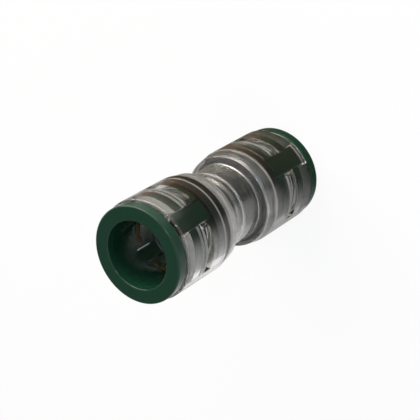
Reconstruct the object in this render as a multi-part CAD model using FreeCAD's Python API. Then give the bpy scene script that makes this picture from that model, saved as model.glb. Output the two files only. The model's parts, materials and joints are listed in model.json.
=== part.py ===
import FreeCAD
import Part
import math
import os

# Straight push-in coupling for two plastic tubes, standing on its lower collet.
# Units are millimetres. The axis is Z, and the lower flange's face is at z = 0.
# Depths are measured inwards from the housing's end face. Both ends are alike.

# Tube that the coupling joins
tube_od = 14.0
tube_clearance = 0.15
tube_bite = 0.15
seal_squeeze = 0.17

# Collet
collet_wall = 2.2
flange_thickness = 2.45
flange_inset = 0.35
flange_gap = 0.5
flange_outer_round = 0.4
flange_inner_round = 0.2
mouth_widening = 0.3
mouth_lead_in = 1.5
mouth_round = 0.3
sleeve_depth = 11.25
sleeve_tip_chamfer = 0.4
finger_relief = 0.2
slit_width = 0.25
slit_depth = 6.1
barb_height = 0.7
barb_land = 0.3
barb_side_clearance = 0.5
barb_end_clearance = 0.2
release_travel = 0.8

# Grip teeth
tooth_thickness = 0.4
tooth_seat = 1.35
tooth_lean = 35.0
tooth_arc = 46.0
tooth_depth = 5.6
tooth_fit = 0.03
tooth_notch = 0.5
tooth_notch_turn = 12.0

# Spacer and seal
spacer_length = 1.9
spacer_gap = 0.3
spacer_fit = 0.05
spacer_chamfer = 0.3
seal_fit = 0.02
seal_play = 0.15

# Housing
housing_length = 47.4
housing_wall = 1.55
slide_clearance = 0.1
end_round = 0.4
mouth_chamfer = 0.25
ramp_height = 0.85
ramp_length = 3.0
guide_depth = 0.12
window_width = 10.0
window_length = 2.2
window_depth = 6.45
window_corner = 0.3
seat_floor = 1.65
tube_entry = 0.5
shoulder_length = 3.5
shoulder_drop = 0.57
shoulder_face = 0.45
shoulder_round = 0.35
waist_wall = 1.65
waist_round = 0.5
stop_width = 1.6
stop_height = 1.15
stop_chamfer = 0.3

# Radii
tube_r = tube_od / 2
bore_r = tube_r + tube_clearance
collet_r = bore_r + collet_wall
socket_r = collet_r + slide_clearance
housing_r = socket_r + housing_wall
flange_r = housing_r - flange_inset
waist_r = bore_r + waist_wall
shoulder_r = housing_r - shoulder_drop
barb_r = collet_r + barb_height
ramp_r = socket_r + ramp_height
guide_r = socket_r + guide_depth
stop_r = bore_r - stop_height
relief_r = bore_r + finger_relief
tooth_tip_r = tube_r - tube_bite
tooth_root_r = bore_r + tooth_seat
seal_outer_r = socket_r - seal_fit
seal_inner_r = tube_r - seal_squeeze

# Slits stand in line with the windows' sides, this many degrees from the windows' middles
slit_turn = math.degrees(math.asin(window_width / 2 / socket_r))

# Depths from the housing's end face
window_end = window_depth + window_length
barb_start = window_depth + release_travel + barb_end_clearance
barb_end = window_end - barb_end_clearance
slit_start = sleeve_depth - slit_depth
spacer_start = sleeve_depth + spacer_gap
spacer_end = spacer_start + spacer_length
seal_cord = seal_outer_r - seal_inner_r
seal_centre = spacer_end + seal_play + seal_cord / 2
seat_end = seal_centre + seal_cord / 2 + seal_play
shoulder_end = seat_end + seat_floor
shoulder_start = shoulder_end - shoulder_length
waist_start = shoulder_end + shoulder_face
middle = housing_length / 2
stop_face = middle - stop_width / 2

# Heights in the standing coupling
lower_end = flange_thickness + flange_gap
upper_end = lower_end + housing_length

# Cutters run this far past the faces that they cut
overrun = 1.0

Z_AXIS = FreeCAD.Vector(0, 0, 1)
X_AXIS = FreeCAD.Vector(1, 0, 0)
CENTRE = FreeCAD.Vector(0, 0, 0)


def revolve(outline, turn=360.0):
    """Turn a closed outline of (radius, height) points about Z."""
    corners = [FreeCAD.Vector(radius, 0, height) for radius, height in outline]
    face = Part.Face(Part.makePolygon(corners + corners[:1]))
    return face.revolve(CENTRE, Z_AXIS, turn)


def round_circles(shape, radius, height, fillet):
    """Round the circular edges of this radius at this height."""
    found = []
    for edge in shape.Edges:
        if not isinstance(edge.Curve, Part.Circle):
            continue
        centre = edge.Curve.Center
        on_axis = math.hypot(centre.x, centre.y) < 0.001
        if on_axis and abs(centre.z - height) < 0.001 and abs(edge.Curve.Radius - radius) < 0.001:
            found.append(edge)
    return shape.makeFillet(fillet, found)


def cross_bars(width, low, high, corner=0.0):
    """Two bars through the axis, along X and Y, that mark the windows' places."""
    reach = housing_r + overrun
    bar = Part.makeBox(2 * reach, width, high - low, FreeCAD.Vector(-reach, -width / 2, low))
    if corner > 0:
        long_edges = [edge for edge in bar.Edges if abs(edge.tangentAt(edge.FirstParameter).x) > 0.9]
        bar = bar.makeFillet(corner, long_edges)
    turned = bar.copy()
    turned.rotate(CENTRE, Z_AXIS, 90)
    return [bar, turned]


def housing_end(height, upward):
    """Place what is modelled at an end face at z = 0, outwards along +Z."""
    place = FreeCAD.Placement()
    if not upward:
        place.Rotation = FreeCAD.Rotation(X_AXIS, 180)
    place.Base = FreeCAD.Vector(0, 0, height)
    return place


def placed(shape, place):
    """A copy of the shape, put at its end of the coupling."""
    copy = shape.copy()
    copy.Placement = place.multiply(copy.Placement)
    return copy


TOP = housing_end(upper_end, True)
BOTTOM = housing_end(lower_end, False)


def outer_form():
    """The solid that the housing is cut from: two drums and the waist between them."""
    half = [
        (housing_r, 0),
        (housing_r, -shoulder_start),
        (shoulder_r, -shoulder_end),
        (waist_r, -waist_start),
        (waist_r, -middle),
    ]
    other_half = [(radius, -housing_length - height) for radius, height in reversed(half[:-1])]
    form = revolve([(0, 0)] + half + other_half + [(0, -housing_length)])
    for end, shoulder, neck in (
        (0, -shoulder_end, -waist_start),
        (-housing_length, shoulder_end - housing_length, waist_start - housing_length),
    ):
        form = round_circles(form, housing_r, end, end_round)
        form = round_circles(form, shoulder_r, shoulder, shoulder_round)
        form = round_circles(form, waist_r, neck, waist_round)
    return placed(form, TOP)


def socket_cavity():
    """Collet socket, seal seat and tube bore of one end, down to the middle of the stop."""
    return revolve([
        (0, overrun),
        (socket_r + mouth_chamfer + overrun, overrun),
        (socket_r + mouth_chamfer, 0),
        (socket_r, -mouth_chamfer),
        (socket_r, -seat_end),
        (bore_r + tube_entry, -seat_end),
        (bore_r, -seat_end - tube_entry),
        (bore_r, -stop_face),
        (stop_r + stop_chamfer, -stop_face),
        (stop_r, -stop_face - stop_chamfer),
        (stop_r, -middle),
        (0, -middle),
    ])


def barb_guides():
    """Four ramps in the mouth that press the barbs in, each with a shallow groove on to its window."""
    slope = (ramp_height - guide_depth) / ramp_length
    groove_end = -(window_depth + window_end) / 2
    core = revolve([
        (0, overrun),
        (ramp_r + slope * overrun, overrun),
        (guide_r, -ramp_length),
        (guide_r, groove_end),
        (0, groove_end),
    ])
    first, second = cross_bars(window_width, groove_end, overrun)
    return core.common(first.fuse(second))


def make_housing():
    """Clear one-piece moulding with four windows in each socket."""
    housing = outer_form()
    cutters = [socket_cavity(), barb_guides()]
    cutters += cross_bars(window_width, -window_end, -window_depth, window_corner)
    for place in (TOP, BOTTOM):
        for cutter in cutters:
            housing = housing.cut(placed(cutter, place))
    return housing


def collet_blank():
    """Flange and sleeve of a collet, before it is slit."""
    face = flange_gap + flange_thickness
    blank = revolve([
        (bore_r + mouth_widening, face),
        (flange_r, face),
        (flange_r, flange_gap),
        (collet_r, flange_gap),
        (collet_r, -sleeve_depth + sleeve_tip_chamfer),
        (collet_r - sleeve_tip_chamfer, -sleeve_depth),
        (relief_r, -sleeve_depth),
        (relief_r, -slit_start - finger_relief),
        (bore_r, -slit_start),
        (bore_r, face - mouth_lead_in),
    ])
    blank = round_circles(blank, flange_r, face, flange_outer_round)
    blank = round_circles(blank, flange_r, flange_gap, flange_inner_round)
    return round_circles(blank, bore_r + mouth_widening, face, mouth_round)


def barbs():
    """Four barbs: square towards the mouth, sloped towards the sleeve's tip."""
    sunk_r = collet_r - barb_height / 2
    ring = revolve([
        (sunk_r, -barb_start),
        (barb_r, -barb_start),
        (barb_r, -barb_start - barb_land),
        (collet_r, -barb_end),
        (sunk_r, -barb_end),
    ])
    bars = cross_bars(window_width - 2 * barb_side_clearance, -barb_end, -barb_start)
    return [ring.common(bar) for bar in bars]


def slits():
    """Eight cuts that part four barbed fingers from four plain ones, each with a round root."""
    reach = flange_r + overrun
    root = slit_start + slit_width / 2
    tail = sleeve_depth + overrun - root
    slot = Part.makeBox(2 * reach, slit_width, tail, FreeCAD.Vector(-reach, -slit_width / 2, -root - tail))
    end = Part.makeCylinder(slit_width / 2, 2 * reach, FreeCAD.Vector(-reach, 0, -root), X_AXIS)
    cutter = slot.fuse(end)
    cuts = []
    for turn in (-slit_turn, slit_turn, 90 - slit_turn, 90 + slit_turn):
        copy = cutter.copy()
        copy.rotate(CENTRE, Z_AXIS, turn)
        cuts.append(copy)
    return cuts


def tooth_blade(grow):
    """Blade that leans inwards from its root in the finger to its edge in the bore."""
    advance = (tooth_root_r - tooth_tip_r) * math.tan(math.radians(tooth_lean))
    mouth_side = -tooth_depth + grow
    tip_side = -tooth_depth - tooth_thickness - grow
    extra = math.degrees(grow / bore_r)
    blade = revolve([
        (tooth_root_r + grow, mouth_side),
        (tooth_tip_r, mouth_side - advance),
        (tooth_tip_r, tip_side - advance),
        (tooth_root_r + grow, tip_side),
    ], tooth_arc + 2 * extra)
    blade.rotate(CENTRE, Z_AXIS, -tooth_arc / 2 - extra)
    return blade


def make_tooth():
    """Stainless blade with three points, made by two notches in its edge."""
    tooth = tooth_blade(0)
    for turn in (-tooth_notch_turn, tooth_notch_turn):
        height = tooth_depth + tooth_thickness + tooth_root_r
        corner = FreeCAD.Vector(-tooth_notch / 2, -tooth_notch / 2, -height)
        notch = Part.makeBox(tooth_notch, tooth_notch, height, corner)
        notch.rotate(CENTRE, Z_AXIS, 45)
        notch.translate(FreeCAD.Vector(tooth_tip_r, 0, 0))
        notch.rotate(CENTRE, Z_AXIS, turn)
        tooth = tooth.cut(notch)
    return tooth


def make_collet():
    """Release collet: the four wide fingers have a barb outside and a tooth pocket inside."""
    collet = collet_blank()
    for barb in barbs():
        collet = collet.fuse(barb)
    for cut in slits():
        collet = collet.cut(cut)
    for quarter in range(4):
        pocket = tooth_blade(tooth_fit)
        pocket.rotate(CENTRE, Z_AXIS, 90 * quarter)
        collet = collet.cut(pocket)
    return collet.removeSplitter()


def make_spacer():
    """Plain ring between the collet's fingers and the seal."""
    outer = socket_r - spacer_fit
    return revolve([
        (relief_r + spacer_chamfer, -spacer_start),
        (outer, -spacer_start),
        (outer, -spacer_end),
        (relief_r, -spacer_end),
        (relief_r, -spacer_start - spacer_chamfer),
    ])


def make_seal():
    """O-ring in its seat."""
    ring = Part.makeTorus((seal_outer_r + seal_inner_r) / 2, seal_cord / 2)
    ring.translate(FreeCAD.Vector(0, 0, -seal_centre))
    return ring


def write(name, shape):
    """Save one piece under its node name."""
    shape.exportStep(os.path.join("parts", name + ".step"))


def main():
    """Build every piece at both ends and save it."""
    os.makedirs("parts", exist_ok=True)
    write("housing", make_housing())
    collet = make_collet()
    spacer = make_spacer()
    seal = make_seal()
    tooth = make_tooth()
    for end, place in (("top", TOP), ("bottom", BOTTOM)):
        write(end + "_collet", placed(collet, place))
        write(end + "_spacer", placed(spacer, place))
        write(end + "_seal", placed(seal, place))
        for quarter in range(4):
            turned = tooth.copy()
            turned.rotate(CENTRE, Z_AXIS, 90 * quarter)
            write(end + "_tooth_" + str(quarter + 1), placed(turned, place))


main()
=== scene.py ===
import json
import math

import bmesh
import bpy
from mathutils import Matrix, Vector


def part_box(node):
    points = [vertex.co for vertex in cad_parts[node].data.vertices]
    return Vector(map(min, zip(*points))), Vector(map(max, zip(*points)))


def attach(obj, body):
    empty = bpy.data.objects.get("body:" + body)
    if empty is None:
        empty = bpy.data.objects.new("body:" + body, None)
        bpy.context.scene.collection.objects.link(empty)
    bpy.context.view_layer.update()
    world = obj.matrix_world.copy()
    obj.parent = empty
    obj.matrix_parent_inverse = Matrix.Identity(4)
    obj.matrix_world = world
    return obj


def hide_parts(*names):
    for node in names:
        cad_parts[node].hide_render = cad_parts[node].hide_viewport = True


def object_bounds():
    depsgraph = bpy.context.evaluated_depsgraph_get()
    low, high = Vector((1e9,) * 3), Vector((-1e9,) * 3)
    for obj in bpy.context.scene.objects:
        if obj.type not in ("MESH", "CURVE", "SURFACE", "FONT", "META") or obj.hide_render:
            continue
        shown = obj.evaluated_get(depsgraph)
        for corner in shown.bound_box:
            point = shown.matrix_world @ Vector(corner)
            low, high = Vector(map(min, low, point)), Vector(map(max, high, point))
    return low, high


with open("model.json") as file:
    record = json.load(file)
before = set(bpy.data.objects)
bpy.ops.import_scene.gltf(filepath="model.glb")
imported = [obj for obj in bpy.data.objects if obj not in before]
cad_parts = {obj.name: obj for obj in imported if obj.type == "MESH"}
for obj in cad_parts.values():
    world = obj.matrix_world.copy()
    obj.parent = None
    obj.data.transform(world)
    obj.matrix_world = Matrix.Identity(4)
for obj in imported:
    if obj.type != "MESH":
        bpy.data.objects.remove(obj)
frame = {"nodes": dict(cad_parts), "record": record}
cad_box = [list(corner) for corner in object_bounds()]

# Camera of the photograph in the frame of the standing coupling: metres and degrees, with the
# lens and the sensor in millimetres
CAMERA_PLACE = (0.1407, 0.11235, 0.23004)
CAMERA_TURN = (-24.42, 34.77, -0.02)
CAMERA_LENS = 107.75
CAMERA_SENSOR = 36.0
CAMERA_CLIP = (0.01, 10)

# Colours, linear, and the density of the smoky tint for each metre of plastic
CLEAR_TINT = (0.92, 0.91, 0.90, 1)
# The end faces' colour is darkened: painted shade of the narrow gap under the flanges
END_PAINTED_SHADE = (0.42, 0.40, 0.38, 1)
SMOKE_COLOUR = (0.50, 0.48, 0.43, 1)
SMOKE_DENSITY = 62.0
GREEN = (0.006, 0.034, 0.018, 1)
GREEN_PALE = (0.008, 0.041, 0.023, 1)
SEAL_BLACK = (0.010, 0.010, 0.010, 1)
SPACER_GREY = (0.022, 0.021, 0.020, 1)
# The teeth's steel is darkened below its own colour: painted shade of the bore
SHADED_STEEL = (0.075, 0.050, 0.026, 1)
WHITE = (1, 1, 1, 1)

# Milk of the clear plastic: its colour, how much of it each place has, from 0, clear, to 1,
# white, and the ranges of the factors by which streaks vary it
MILK = (0.93, 0.93, 0.92, 1)
RAMP_MILK = (0.03, 0.08)
UPPER_WALL_MILK = 0.97
WINDOW_MILK = 0.03
GROOVE_MILK = 0.3
MOUTH_MILK = 0.35
# The seat line's milk is a painted highlight: a pale line where the seal's seat begins
SEAT_LINE_HIGHLIGHT = 0.5
WAIST_MILK = 0.025
SHOULDER_MILK = 0.07
FROST_RANGE = (0.75, 1.2)
HAZE_RANGE = (0.1, 1.9)

# Finish of the clear plastic: roughness from 0 to 1, relief in metres, and the share of the
# bore's relief that the drums have
CLEAR_IOR = 1.58
POLISH_RANGE = (0.01, 0.05)
FROST_ROUGHNESS = 0.5
ROUGH_PER_MILK = 2.5
WAIST_ROUGHNESS = 0.08
BORE_ROUGHNESS = 0.25
STREAK_HEIGHT = 0.00006
RIPPLE_HEIGHT = 0.00004
DRUM_SHARE = 0.1

# Finish of the other materials: ranges of roughness, and relief in metres
GREEN_ROUGHNESS = (0.13, 0.20)
GREEN_SPECULAR = 0.36
GREEN_GRAIN = 0.000004
SEAL_ROUGHNESS = (0.35, 0.5)
SPACER_ROUGHNESS = (0.3, 0.45)
STEEL_ROUGHNESS = (0.5, 0.65)

# Noise: its detail, the scale of each pattern, and the factor under 1 that draws out streaks
NOISE_DETAIL = 3.0
POLISH_SCALE = 220
FLOW_SCALE, FLOW_SQUEEZE = 700, 0.02
RING_SCALE, RING_SQUEEZE = 1400, 0.03
FROST_SCALE, FROST_SQUEEZE = 1500, 0.05
GREEN_CLOUD_SCALE = 900
GREEN_GLOSS_SCALE = 500
GREEN_GRAIN_SCALE = 2500
SEAL_SCALE = 800
SPACER_SCALE = 800
STEEL_SCALE = 1500

# Form of the housing that its finish follows, in metres. Depths are measured from its end faces,
# and reaches and the seat line along the axis from the coupling's middle
HOUSING_LOW, HOUSING_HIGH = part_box("housing")
HOUSING_RADIUS = HOUSING_HIGH.x
HOUSING_REACH = (HOUSING_HIGH.z - HOUSING_LOW.z) / 2
SOCKET_RADIUS = 0.00945
GUIDE_RADIUS = 0.00957
RAMP_RADIUS = 0.0103
BORE_RADIUS = 0.00715
RAMP_DEPTHS = (0.0005, 0.003)
GROOVE_DEPTHS = (0.0053, 0.0061)
WINDOW_DEPTHS = (0.00645, 0.00865)
MOUTH_DEPTH = 0.001
SHOULDER_REACH = 0.0089
SHOULDER_FADE = 0.0003
WAIST_REACH = 0.0073
WAIST_FADE = 0.0008
SEAT_LINE = (0.00975, 0.01025)
EDGE = 0.00003

# Seals, squeezed flat against the wall, in metres, and the points round the cord and the ring
SEAL_INNER_RADIUS = 0.00683
SEAL_FLAT = 0.0011
SEAL_SINK = 0.000004
SEAL_POINTS = 48
SEAL_TURNS = 192

# Floor, in metres and linear colours, and the share of plain white that the camera sees there
FLOOR_SIZE = 4.0
FLOOR_COLOUR = (0.92, 0.92, 0.92, 1)
FLOOR_ROUGHNESS = 0.9
BACKDROP_SHARE = 0.9

# Card on the floor, in metres and linear colours: a glowing sheet of painted reflections that only
# mirror and glass rays see. CARD_SIDE is the sine of the azimuth at which the card begins and is
# whole, WARM_SPAN is in X, and the other spans are radii
CARD_SIZE = 0.4
CARD_HEIGHT = 0.0002
CARD_OPENING = 0.0107
CARD_RIM = 0.02
CARD_SIDE = (-0.5, 0.26)
# The card's colours glow as painted reflections: dark warm and neutral near the coupling, pale
# further out
CARD_WARM = (0.15, 0.11, 0.075, 1)
CARD_NEUTRAL = (0.065, 0.075, 0.06, 1)
CARD_FAR = (0.90, 0.89, 0.87, 1)
# Painted shadow round the foot, which only mirror and glass rays see
CARD_FOOT_SHADOW = (0.42, 0.42, 0.42, 1)
WARM_SPAN = (-0.005, 0.025)
FAR_SPAN = (0.05, 0.08)
FOOT_SHADOW_SPAN = (0.032, 0.02)

# Tones of painted reflection on the card: azimuth and half width in degrees, inner and outer
# radius, colour
CARD_TONES = (
    (105, 40, 0.055, 0.170, (0.92, 0.91, 0.86, 1)),
    (-8, 20, 0.024, 0.043, (1.0, 1.0, 0.99, 1)),
    (-80, 16, 0.090, 0.180, (0.30, 0.31, 0.31, 1)),
    (-32, 26, 0.060, 0.085, (0.38, 0.39, 0.39, 1)),
    (-142, 30, 0.032, 0.085, (0.40, 0.40, 0.41, 1)),
)

# Soft edges of the tones: degrees at their sides, and a share of their inner and outer radius
TONE_SOFTNESS = 14
TONE_FADE = 0.1

# Sky: its colours below and above two heights, where 1 is overhead, and the heights between
# which it turns white for mirror and glass rays
SKY_LOW = (0.36, 0.36, 0.36, 1)
SKY_HIGH = (1.05, 1.06, 1.08, 1)
SKY_SPAN = (0.45, 0.8)
HORIZON_SPAN = (0.2, 0.1)

# Shaded patches of the sky: direction, outer and inner half width in degrees, colour
SKY_SHADES = (
    ((-0.53, -0.42, 0.735), 42, 20, (0.20, 0.20, 0.20, 1)),
    ((0.55, 0.44, 0.71), 40, 20, (0.38, 0.38, 0.39, 1)),
)

# Lamps: name, place and size in metres, power in watts, colour
COOL_LIGHT = (0.6, 0.86, 1.0)
WARM_LIGHT = (1.0, 0.95, 0.82)
LAMPS = (
    ("key", (0.18, 0.215, 0.44), (0.04, 0.16), 0.36, COOL_LIGHT),
    ("side", (-0.33, 0.44, 0.19), (0.5, 0.25), 2.6, WARM_LIGHT),
    ("upper", (-0.05, 0.50, 0.20), (0.4, 0.25), 1.2, WARM_LIGHT),
)

# How many times light is followed: the clear walls need many
ALL_BOUNCES = 32
DIFFUSE_BOUNCES = 10
GLOSSY_BOUNCES = 24


def new_material(name):
    """Node material and its Principled shader."""
    material = bpy.data.materials.new(name)
    material.use_nodes = True
    shader = material.node_tree.nodes["Principled BSDF"]
    return material, material.node_tree, shader


def feed(tree, value, socket):
    """Give a socket a number, a colour, or the value of another socket."""
    if isinstance(value, (int, float, tuple)):
        socket.default_value = value
    else:
        tree.links.new(value, socket)


def maths(tree, operation, first, second=0):
    """Math node over two values, each a socket or a number."""
    node = tree.nodes.new("ShaderNodeMath")
    node.operation = operation
    feed(tree, first, node.inputs[0])
    feed(tree, second, node.inputs[1])
    return node.outputs["Value"]


def product(tree, first, *others):
    """All the values multiplied together."""
    for value in others:
        first = maths(tree, "MULTIPLY", first, value)
    return first


def largest(tree, first, *others):
    """The largest of the values."""
    for value in others:
        first = maths(tree, "MAXIMUM", first, value)
    return first


def between(tree, value, low, high):
    """1 where the value lies between two limits, and 0 elsewhere."""
    above = maths(tree, "GREATER_THAN", value, low)
    return product(tree, above, maths(tree, "LESS_THAN", value, high))


def ramp(tree, source, low, high):
    """Map 0 to 1 onto a range of values."""
    node = tree.nodes.new("ShaderNodeMapRange")
    node.inputs["To Min"].default_value = low
    node.inputs["To Max"].default_value = high
    tree.links.new(source, node.inputs["Value"])
    return node.outputs["Result"]


def step(tree, value, start, end, low=0, high=1):
    """Smooth change from low to high as the value goes from start to end."""
    node = tree.nodes.new("ShaderNodeMapRange")
    node.interpolation_type = "SMOOTHSTEP"
    node.inputs["From Min"].default_value = start
    node.inputs["From Max"].default_value = end
    node.inputs["To Min"].default_value = low
    node.inputs["To Max"].default_value = high
    tree.links.new(value, node.inputs["Value"])
    return node.outputs["Result"]


def mix_colours(tree, source, low, high):
    """Blend two colours, each a socket or a colour, by a 0 to 1 value."""
    node = tree.nodes.new("ShaderNodeMix")
    node.data_type = "RGBA"
    colour_sockets = [socket for socket in node.inputs if socket.type == "RGBA"]
    for socket, value in zip(colour_sockets, (low, high)):
        feed(tree, value, socket)
    tree.links.new(source, node.inputs["Factor"])
    return [socket for socket in node.outputs if socket.type == "RGBA"][0]


def noise(tree, scale, across=1, along=1):
    """Noise in object coordinates, drawn out round or along the axis by a factor under 1."""
    place = tree.nodes.new("ShaderNodeTexCoord")
    drawn = tree.nodes.new("ShaderNodeMapping")
    drawn.inputs["Scale"].default_value = (across, across, along)
    node = tree.nodes.new("ShaderNodeTexNoise")
    node.inputs["Scale"].default_value = scale
    node.inputs["Detail"].default_value = NOISE_DETAIL
    tree.links.new(place.outputs["Object"], drawn.inputs["Vector"])
    tree.links.new(drawn.outputs["Vector"], node.inputs["Vector"])
    return node.outputs["Fac"]


def bump(tree, source, height):
    """Surface relief of this height in metres."""
    node = tree.nodes.new("ShaderNodeBump")
    node.inputs["Strength"].default_value = 1
    node.inputs["Distance"].default_value = height
    tree.links.new(source, node.inputs["Height"])
    return node.outputs["Normal"]


def place_parts(tree, output="Object"):
    """X, Y, Z and the distance from the Z axis."""
    place = tree.nodes.new("ShaderNodeTexCoord")
    parts = tree.nodes.new("ShaderNodeSeparateXYZ")
    tree.links.new(place.outputs[output], parts.inputs["Vector"])
    x, y, z = (parts.outputs[axis] for axis in "XYZ")
    squares = maths(tree, "ADD", product(tree, x, x), product(tree, y, y))
    return x, y, z, maths(tree, "POWER", squares, 0.5)


def from_middle(tree, z):
    """Distance along the axis from the coupling's middle."""
    middle = (cad_box[0][2] + cad_box[1][2]) / 2
    return maths(tree, "ABSOLUTE", maths(tree, "SUBTRACT", z, middle))


def at_radius(tree, radius, wall):
    """1 on the round wall of this radius, and 0 elsewhere."""
    return between(tree, radius, wall - EDGE, wall + EDGE)


def at_depths(tree, along, depths, margin=0):
    """1 between two depths from either end face of the housing, and 0 elsewhere."""
    outer, inner = depths
    return between(tree, along, HOUSING_REACH - inner - margin, HOUSING_REACH - outer + margin)


def at_upper_walls(tree, z):
    """1 at the height of the window walls that face down, in either socket, and 0 elsewhere."""
    outer, inner = WINDOW_DEPTHS
    heights = (HOUSING_HIGH.z - outer, HOUSING_LOW.z + inner)
    return largest(tree, *(between(tree, z, height - EDGE, height + EDGE) for height in heights))


def frosted_places(tree, z, radius, along):
    """Milk of the ramps, mouths, grooves and window walls, broken up by fine streaks."""
    on_ramp = between(tree, radius, GUIDE_RADIUS + EDGE, RAMP_RADIUS + EDGE)
    ramp_ends = (HOUSING_REACH - depth for depth in RAMP_DEPTHS)
    ramp_milk = step(tree, along, *ramp_ends, *RAMP_MILK)
    ramps = product(tree, on_ramp, at_depths(tree, along, RAMP_DEPTHS), ramp_milk)
    near_end = maths(tree, "GREATER_THAN", along, HOUSING_REACH - MOUTH_DEPTH)
    mouths = product(tree, at_radius(tree, radius, SOCKET_RADIUS), near_end, MOUTH_MILK)
    on_guide = at_radius(tree, radius, GUIDE_RADIUS)
    grooves = product(tree, on_guide, at_depths(tree, along, GROOVE_DEPTHS), GROOVE_MILK)
    in_wall = between(tree, radius, GUIDE_RADIUS + EDGE, HOUSING_RADIUS - EDGE)
    windows = product(tree, in_wall, at_depths(tree, along, WINDOW_DEPTHS, EDGE), WINDOW_MILK)
    upper_walls = product(tree, in_wall, at_upper_walls(tree, z), UPPER_WALL_MILK)
    frost = largest(tree, ramps, mouths, grooves, windows, upper_walls)
    fine_streaks = noise(tree, FROST_SCALE, along=FROST_SQUEEZE)
    return product(tree, frost, ramp(tree, fine_streaks, *FROST_RANGE))


def painted_seat_highlight(tree, radius, along):
    """Pale line where the seal's seat begins, inside the socket: a painted highlight."""
    wall = at_radius(tree, radius, SOCKET_RADIUS)
    return product(tree, wall, between(tree, along, *SEAT_LINE), SEAT_LINE_HIGHLIGHT)


def waist_haze(tree, along, waist, flow):
    """Milk of the waist and its shoulders, in long uneven streaks."""
    haze = step(tree, along, WAIST_REACH, WAIST_REACH - WAIST_FADE, SHOULDER_MILK, WAIST_MILK)
    return product(tree, haze, waist, ramp(tree, flow, *HAZE_RANGE))


def housing_roughness(tree, frost, bore, along):
    """Roughness of the polished drums, and of the rougher waist, bore and frosted places."""
    polish = ramp(tree, noise(tree, POLISH_SCALE), *POLISH_RANGE)
    frosted = maths(tree, "MINIMUM", product(tree, frost, ROUGH_PER_MILK), FROST_ROUGHNESS)
    waist = product(tree, maths(tree, "LESS_THAN", along, WAIST_REACH), WAIST_ROUGHNESS)
    return largest(tree, polish, frosted, product(tree, bore, BORE_ROUGHNESS), waist)


def housing_relief(tree, bore, waist, flow):
    """Lines of flow, strongest in the bore, and faint rings round the waist and its shoulders."""
    lines = product(tree, flow, ramp(tree, bore, DRUM_SHARE, 1))
    rings = noise(tree, RING_SCALE, across=RING_SQUEEZE)
    ripples = product(tree, rings, waist, RIPPLE_HEIGHT / STREAK_HEIGHT)
    return bump(tree, maths(tree, "ADD", lines, ripples), STREAK_HEIGHT)


def clear_plastic():
    """Clear, faintly smoky plastic: polished drums, a hazy waist, frosted window walls, a painted
    highlight at each seal's seat and painted shade on the end faces.
    """
    material, tree, shader = new_material("clear_plastic")
    z, radius = place_parts(tree)[2:]
    along = from_middle(tree, z)
    bore = maths(tree, "LESS_THAN", radius, BORE_RADIUS + EDGE)
    waist = step(tree, along, SHOULDER_REACH + SHOULDER_FADE, SHOULDER_REACH)
    flow = noise(tree, FLOW_SCALE, along=FLOW_SQUEEZE)

    haze = waist_haze(tree, along, waist, flow)
    frost = frosted_places(tree, z, radius, along)
    # The milk also carries the painted highlight of the seat line
    milk_and_highlight = largest(tree, haze, frost, painted_seat_highlight(tree, radius, along))
    # Darker end faces: painted shade of the gap under the flanges
    on_end_face = maths(tree, "GREATER_THAN", along, HOUSING_REACH - EDGE)
    tint = mix_colours(tree, on_end_face, CLEAR_TINT, END_PAINTED_SHADE)
    tree.links.new(mix_colours(tree, milk_and_highlight, tint, MILK), shader.inputs["Base Color"])
    tree.links.new(maths(tree, "SUBTRACT", 1, milk_and_highlight), shader.inputs["Transmission Weight"])
    tree.links.new(housing_roughness(tree, frost, bore, along), shader.inputs["Roughness"])
    tree.links.new(housing_relief(tree, bore, waist, flow), shader.inputs["Normal"])
    shader.inputs["IOR"].default_value = CLEAR_IOR

    smoke = tree.nodes.new("ShaderNodeVolumeAbsorption")
    smoke.inputs["Color"].default_value = SMOKE_COLOUR
    smoke.inputs["Density"].default_value = SMOKE_DENSITY
    tree.links.new(smoke.outputs["Volume"], tree.nodes["Material Output"].inputs["Volume"])
    return material


def green_plastic():
    """Dark bottle green, faintly clouded, with an uneven gloss and a fine grain."""
    material, tree, shader = new_material("green_plastic")
    colour = mix_colours(tree, noise(tree, GREEN_CLOUD_SCALE), GREEN, GREEN_PALE)
    tree.links.new(colour, shader.inputs["Base Color"])
    gloss = ramp(tree, noise(tree, GREEN_GLOSS_SCALE), *GREEN_ROUGHNESS)
    tree.links.new(gloss, shader.inputs["Roughness"])
    grain = bump(tree, noise(tree, GREEN_GRAIN_SCALE), GREEN_GRAIN)
    tree.links.new(grain, shader.inputs["Normal"])
    shader.inputs["Specular IOR Level"].default_value = GREEN_SPECULAR
    return material


def even_finish(name, colour, roughness, scale, metallic=0):
    """Material of one colour, whose gloss varies a little from place to place."""
    material, tree, shader = new_material(name)
    shader.inputs["Base Color"].default_value = colour
    shader.inputs["Metallic"].default_value = metallic
    tree.links.new(ramp(tree, noise(tree, scale), *roughness), shader.inputs["Roughness"])
    return material


def seal_rubber():
    """Smooth black rubber."""
    return even_finish("seal_rubber", SEAL_BLACK, SEAL_ROUGHNESS, SEAL_SCALE)


def dark_plastic():
    """Dark grey satin plastic of the spacers."""
    return even_finish("dark_plastic", SPACER_GREY, SPACER_ROUGHNESS, SPACER_SCALE)


def tooth_steel():
    """Dark, warm metal: the steel's colour is darkened to paint the shade deep in the bore."""
    return even_finish("tooth_steel", SHADED_STEEL, STEEL_ROUGHNESS, STEEL_SCALE, metallic=1)


def dress_nodes():
    """Give every CAD node the finish of its material slot."""
    finishes = {
        "clear_plastic": clear_plastic(),
        "green_plastic": green_plastic(),
        "seal_rubber": seal_rubber(),
        "dark_plastic": dark_plastic(),
        "tooth_steel": tooth_steel(),
    }
    for part in frame["record"]["subparts"]:
        node = frame["nodes"][part["node"]]
        node.data.materials.clear()
        node.data.materials.append(finishes[part["material_slot"]])


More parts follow.
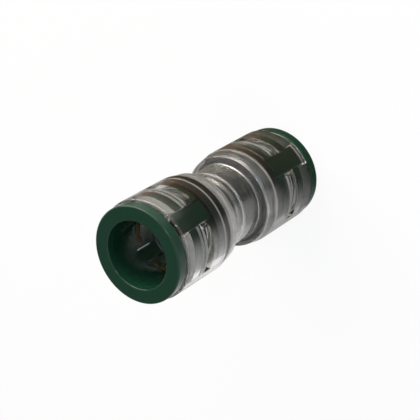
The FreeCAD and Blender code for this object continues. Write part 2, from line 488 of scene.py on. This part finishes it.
def ring_outline(node):
    """Radius and height points of a seal that is squeezed flat against the socket's wall."""
    low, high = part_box(node)
    half_height = (high.z - low.z) / 2
    outer_radius = SOCKET_RADIUS + SEAL_SINK
    outer_share = math.sqrt(1 - (SEAL_FLAT / 2 / half_height) ** 2)
    half_width = (outer_radius - SEAL_INNER_RADIUS) / (1 + outer_share)
    points = []
    for index in range(SEAL_POINTS):
        angle = 2 * math.pi * index / SEAL_POINTS
        radius = min(SEAL_INNER_RADIUS + half_width * (1 + math.cos(angle)), outer_radius)
        points.append((radius, (low.z + high.z) / 2 + half_height * math.sin(angle)))
    return points


def squeezed_seal(node):
    """Seal as it sits in its seat, with its flat side on the socket's wall."""
    points = ring_outline(node)
    mesh = bpy.data.meshes.new(node + "_squeezed")
    shape = bmesh.new()
    rings = []
    for turn in range(SEAL_TURNS):
        angle = 2 * math.pi * turn / SEAL_TURNS
        places = ((r * math.cos(angle), r * math.sin(angle), z) for r, z in points)
        rings.append([shape.verts.new(place) for place in places])
    for turn in range(SEAL_TURNS):
        here = rings[turn]
        there = rings[(turn + 1) % SEAL_TURNS]
        for index in range(SEAL_POINTS):
            after = (index + 1) % SEAL_POINTS
            shape.faces.new((here[index], there[index], there[after], here[after]))
    bmesh.ops.recalc_face_normals(shape, faces=shape.faces)
    for face in shape.faces:
        face.smooth = True
    shape.to_mesh(mesh)
    shape.free()
    ring = bpy.data.objects.new(node + "_squeezed", mesh)
    bpy.context.scene.collection.objects.link(ring)
    ring.data.materials.append(bpy.data.materials["seal_rubber"])
    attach(ring, "body")
    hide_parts(node)


def seen_directly(tree):
    """1 for camera, mirror and glass rays, 0 for the rays that light surfaces and cast shadows."""
    path = tree.nodes.new("ShaderNodeLightPath")
    kinds = ("Is Camera Ray", "Is Glossy Ray", "Is Transmission Ray")
    return largest(tree, *(path.outputs[kind] for kind in kinds))


def glow(tree, colour):
    """Light of this colour, a socket or a colour, at a strength of 1."""
    node = tree.nodes.new("ShaderNodeEmission")
    feed(tree, colour, node.inputs["Color"])
    return node.outputs["Emission"]


def show_by_share(tree, share, first, second):
    """Surface that shows the second shader by this share, and the first by the rest."""
    mixed = tree.nodes.new("ShaderNodeMixShader")
    tree.links.new(share, mixed.inputs["Fac"])
    tree.links.new(first, mixed.inputs[1])
    tree.links.new(second, mixed.inputs[2])
    tree.links.new(mixed.outputs["Shader"], tree.nodes["Material Output"].inputs["Surface"])


def level_square(name, size, height, material):
    """Level square with its centre on the coupling's axis."""
    bpy.ops.mesh.primitive_plane_add(size=size, location=(0, 0, height))
    square = bpy.context.object
    square.name = name
    square.data.materials.append(material)
    return square


def make_floor():
    """Plain pale floor under the lower collet, white to the camera, that keeps the shadow."""
    material, tree, shader = new_material("floor")
    shader.inputs["Base Color"].default_value = FLOOR_COLOUR
    shader.inputs["Roughness"].default_value = FLOOR_ROUGHNESS
    radius = place_parts(tree)[3]
    open_floor = step(tree, radius, BORE_RADIUS, CARD_OPENING, 0, BACKDROP_SHARE)
    share = product(tree, seen_directly(tree), open_floor)
    show_by_share(tree, share, shader.outputs["BSDF"], glow(tree, WHITE))
    floor = level_square("floor", FLOOR_SIZE, 0, material)


def tone_share(tree, parts, azimuth, half_width, inner, outer):
    """1 inside one tone of the card, fading to 0 at its soft edges."""
    x, y, _, radius = parts
    turn = math.radians(azimuth)
    across = maths(tree, "ADD", product(tree, x, math.cos(turn)), product(tree, y, math.sin(turn)))
    across = maths(tree, "DIVIDE", across, largest(tree, radius, EDGE))
    widths = (half_width + TONE_SOFTNESS, half_width - TONE_SOFTNESS)
    sector = step(tree, across, *(math.cos(math.radians(width)) for width in widths))
    begin = step(tree, radius, inner * (1 - TONE_FADE), inner * (1 + TONE_FADE))
    finish = step(tree, radius, outer * (1 + TONE_FADE), outer * (1 - TONE_FADE))
    return product(tree, sector, begin, finish)


def card_reflections_and_shade(tree):
    """Colour of the card's painted reflections and of its painted shadow round the foot, and how
    much of it there is, from 0 to 1.
    """
    parts = place_parts(tree)
    x, y, _, radius = parts
    side = step(tree, maths(tree, "DIVIDE", y, largest(tree, radius, EDGE)), *CARD_SIDE)
    near = mix_colours(tree, step(tree, x, *WARM_SPAN), CARD_WARM, CARD_NEUTRAL)
    colour = mix_colours(tree, step(tree, radius, *FAR_SPAN), near, CARD_FAR)
    # Painted shadow round the foot on the -Y side
    colour = mix_colours(tree, side, CARD_FOOT_SHADOW, colour)
    cover = largest(tree, side, step(tree, radius, *FOOT_SHADOW_SPAN))
    for azimuth, half_width, inner, outer, tone in CARD_TONES:
        share = tone_share(tree, parts, azimuth, half_width, inner, outer)
        colour = mix_colours(tree, share, colour, tone)
        cover = largest(tree, cover, share)
    opening = step(tree, radius, BORE_RADIUS, CARD_OPENING)
    rim = step(tree, radius, CARD_SIZE / 2, CARD_SIZE / 2 - CARD_RIM)
    return colour, product(tree, cover, opening, rim)


def make_card():
    """Soft-edged glowing card of toned patches on the floor: painted reflections that the clear
    walls mirror and refract.

    The camera doesn't see it, it casts no shadow, and scattered light passes it.
    """
    material, tree, _ = new_material("card")
    colour, cover = card_reflections_and_shade(tree)
    underside = tree.nodes.new("ShaderNodeNewGeometry").outputs["Backfacing"]
    scatterings = tree.nodes.new("ShaderNodeLightPath").outputs["Diffuse Depth"]
    from_above = maths(tree, "SUBTRACT", 1, underside)
    share = product(tree, cover, from_above, maths(tree, "LESS_THAN", scatterings, 1))
    open_air = tree.nodes.new("ShaderNodeBsdfTransparent")
    show_by_share(tree, share, open_air.outputs["BSDF"], glow(tree, colour))
    card = level_square("card", CARD_SIZE, CARD_HEIGHT, material)
    card.visible_camera = False
    card.visible_shadow = False


def make_world():
    """Soft grey sky with two shaded patches.

    The camera sees plain white instead, and mirror and glass rays see white near the horizon.
    """
    world = bpy.data.worlds.new("studio")
    bpy.context.scene.world = world
    world.use_nodes = True
    tree = world.node_tree
    height = place_parts(tree, "Generated")[2]
    colour = mix_colours(tree, step(tree, height, *SKY_SPAN), SKY_LOW, SKY_HIGH)
    place = tree.nodes.new("ShaderNodeTexCoord")
    for direction, outer, inner, shade in SKY_SHADES:
        turned = tree.nodes.new("ShaderNodeVectorMath")
        turned.operation = "DOT_PRODUCT"
        turned.inputs[1].default_value = direction
        tree.links.new(place.outputs["Generated"], turned.inputs[0])
        edges = (math.cos(math.radians(angle)) for angle in (outer, inner))
        colour = mix_colours(tree, step(tree, turned.outputs["Value"], *edges), colour, shade)
    horizon = product(tree, seen_directly(tree), step(tree, height, *HORIZON_SPAN))
    camera_ray = tree.nodes.new("ShaderNodeLightPath").outputs["Is Camera Ray"]
    colour = mix_colours(tree, largest(tree, horizon, camera_ray), colour, WHITE)
    tree.links.new(colour, tree.nodes["Background"].inputs["Color"])


def area_light(name, place, size, power, colour):
    """Soft light aimed at the coupling's middle."""
    data = bpy.data.lights.new(name, "AREA")
    data.shape = "RECTANGLE"
    data.size, data.size_y = size
    data.energy = power
    data.color = colour
    light = bpy.data.objects.new(name, data)
    bpy.context.scene.collection.objects.link(light)
    light.location = place
    middle = (Vector(cad_box[0]) + Vector(cad_box[1])) / 2
    light.rotation_euler = (middle - Vector(place)).to_track_quat("-Z", "Y").to_euler()


def make_camera():
    """Camera at the photograph's viewing angle."""
    data = bpy.data.cameras.new("camera")
    data.lens = CAMERA_LENS
    data.sensor_width = CAMERA_SENSOR
    data.clip_start, data.clip_end = CAMERA_CLIP
    camera = bpy.data.objects.new("camera", data)
    bpy.context.scene.collection.objects.link(camera)
    camera.location = CAMERA_PLACE
    camera.rotation_euler = [math.radians(angle) for angle in CAMERA_TURN]
    bpy.context.scene.camera = camera


def set_view():
    """Plain view of the colours, and enough bounces for the clear walls."""
    scene = bpy.context.scene
    scene.view_settings.view_transform = "Standard"
    scene.cycles.max_bounces = ALL_BOUNCES
    scene.cycles.diffuse_bounces = DIFFUSE_BOUNCES
    scene.cycles.glossy_bounces = GLOSSY_BOUNCES
    scene.cycles.transmission_bounces = ALL_BOUNCES


def main():
    dress_nodes()
    for node in ("top_seal", "bottom_seal"):
        squeezed_seal(node)
    make_floor()
    make_card()
    make_world()
    for lamp in LAMPS:
        area_light(*lamp)
    make_camera()
    set_view()


main()
bpy.context.view_layer.update()
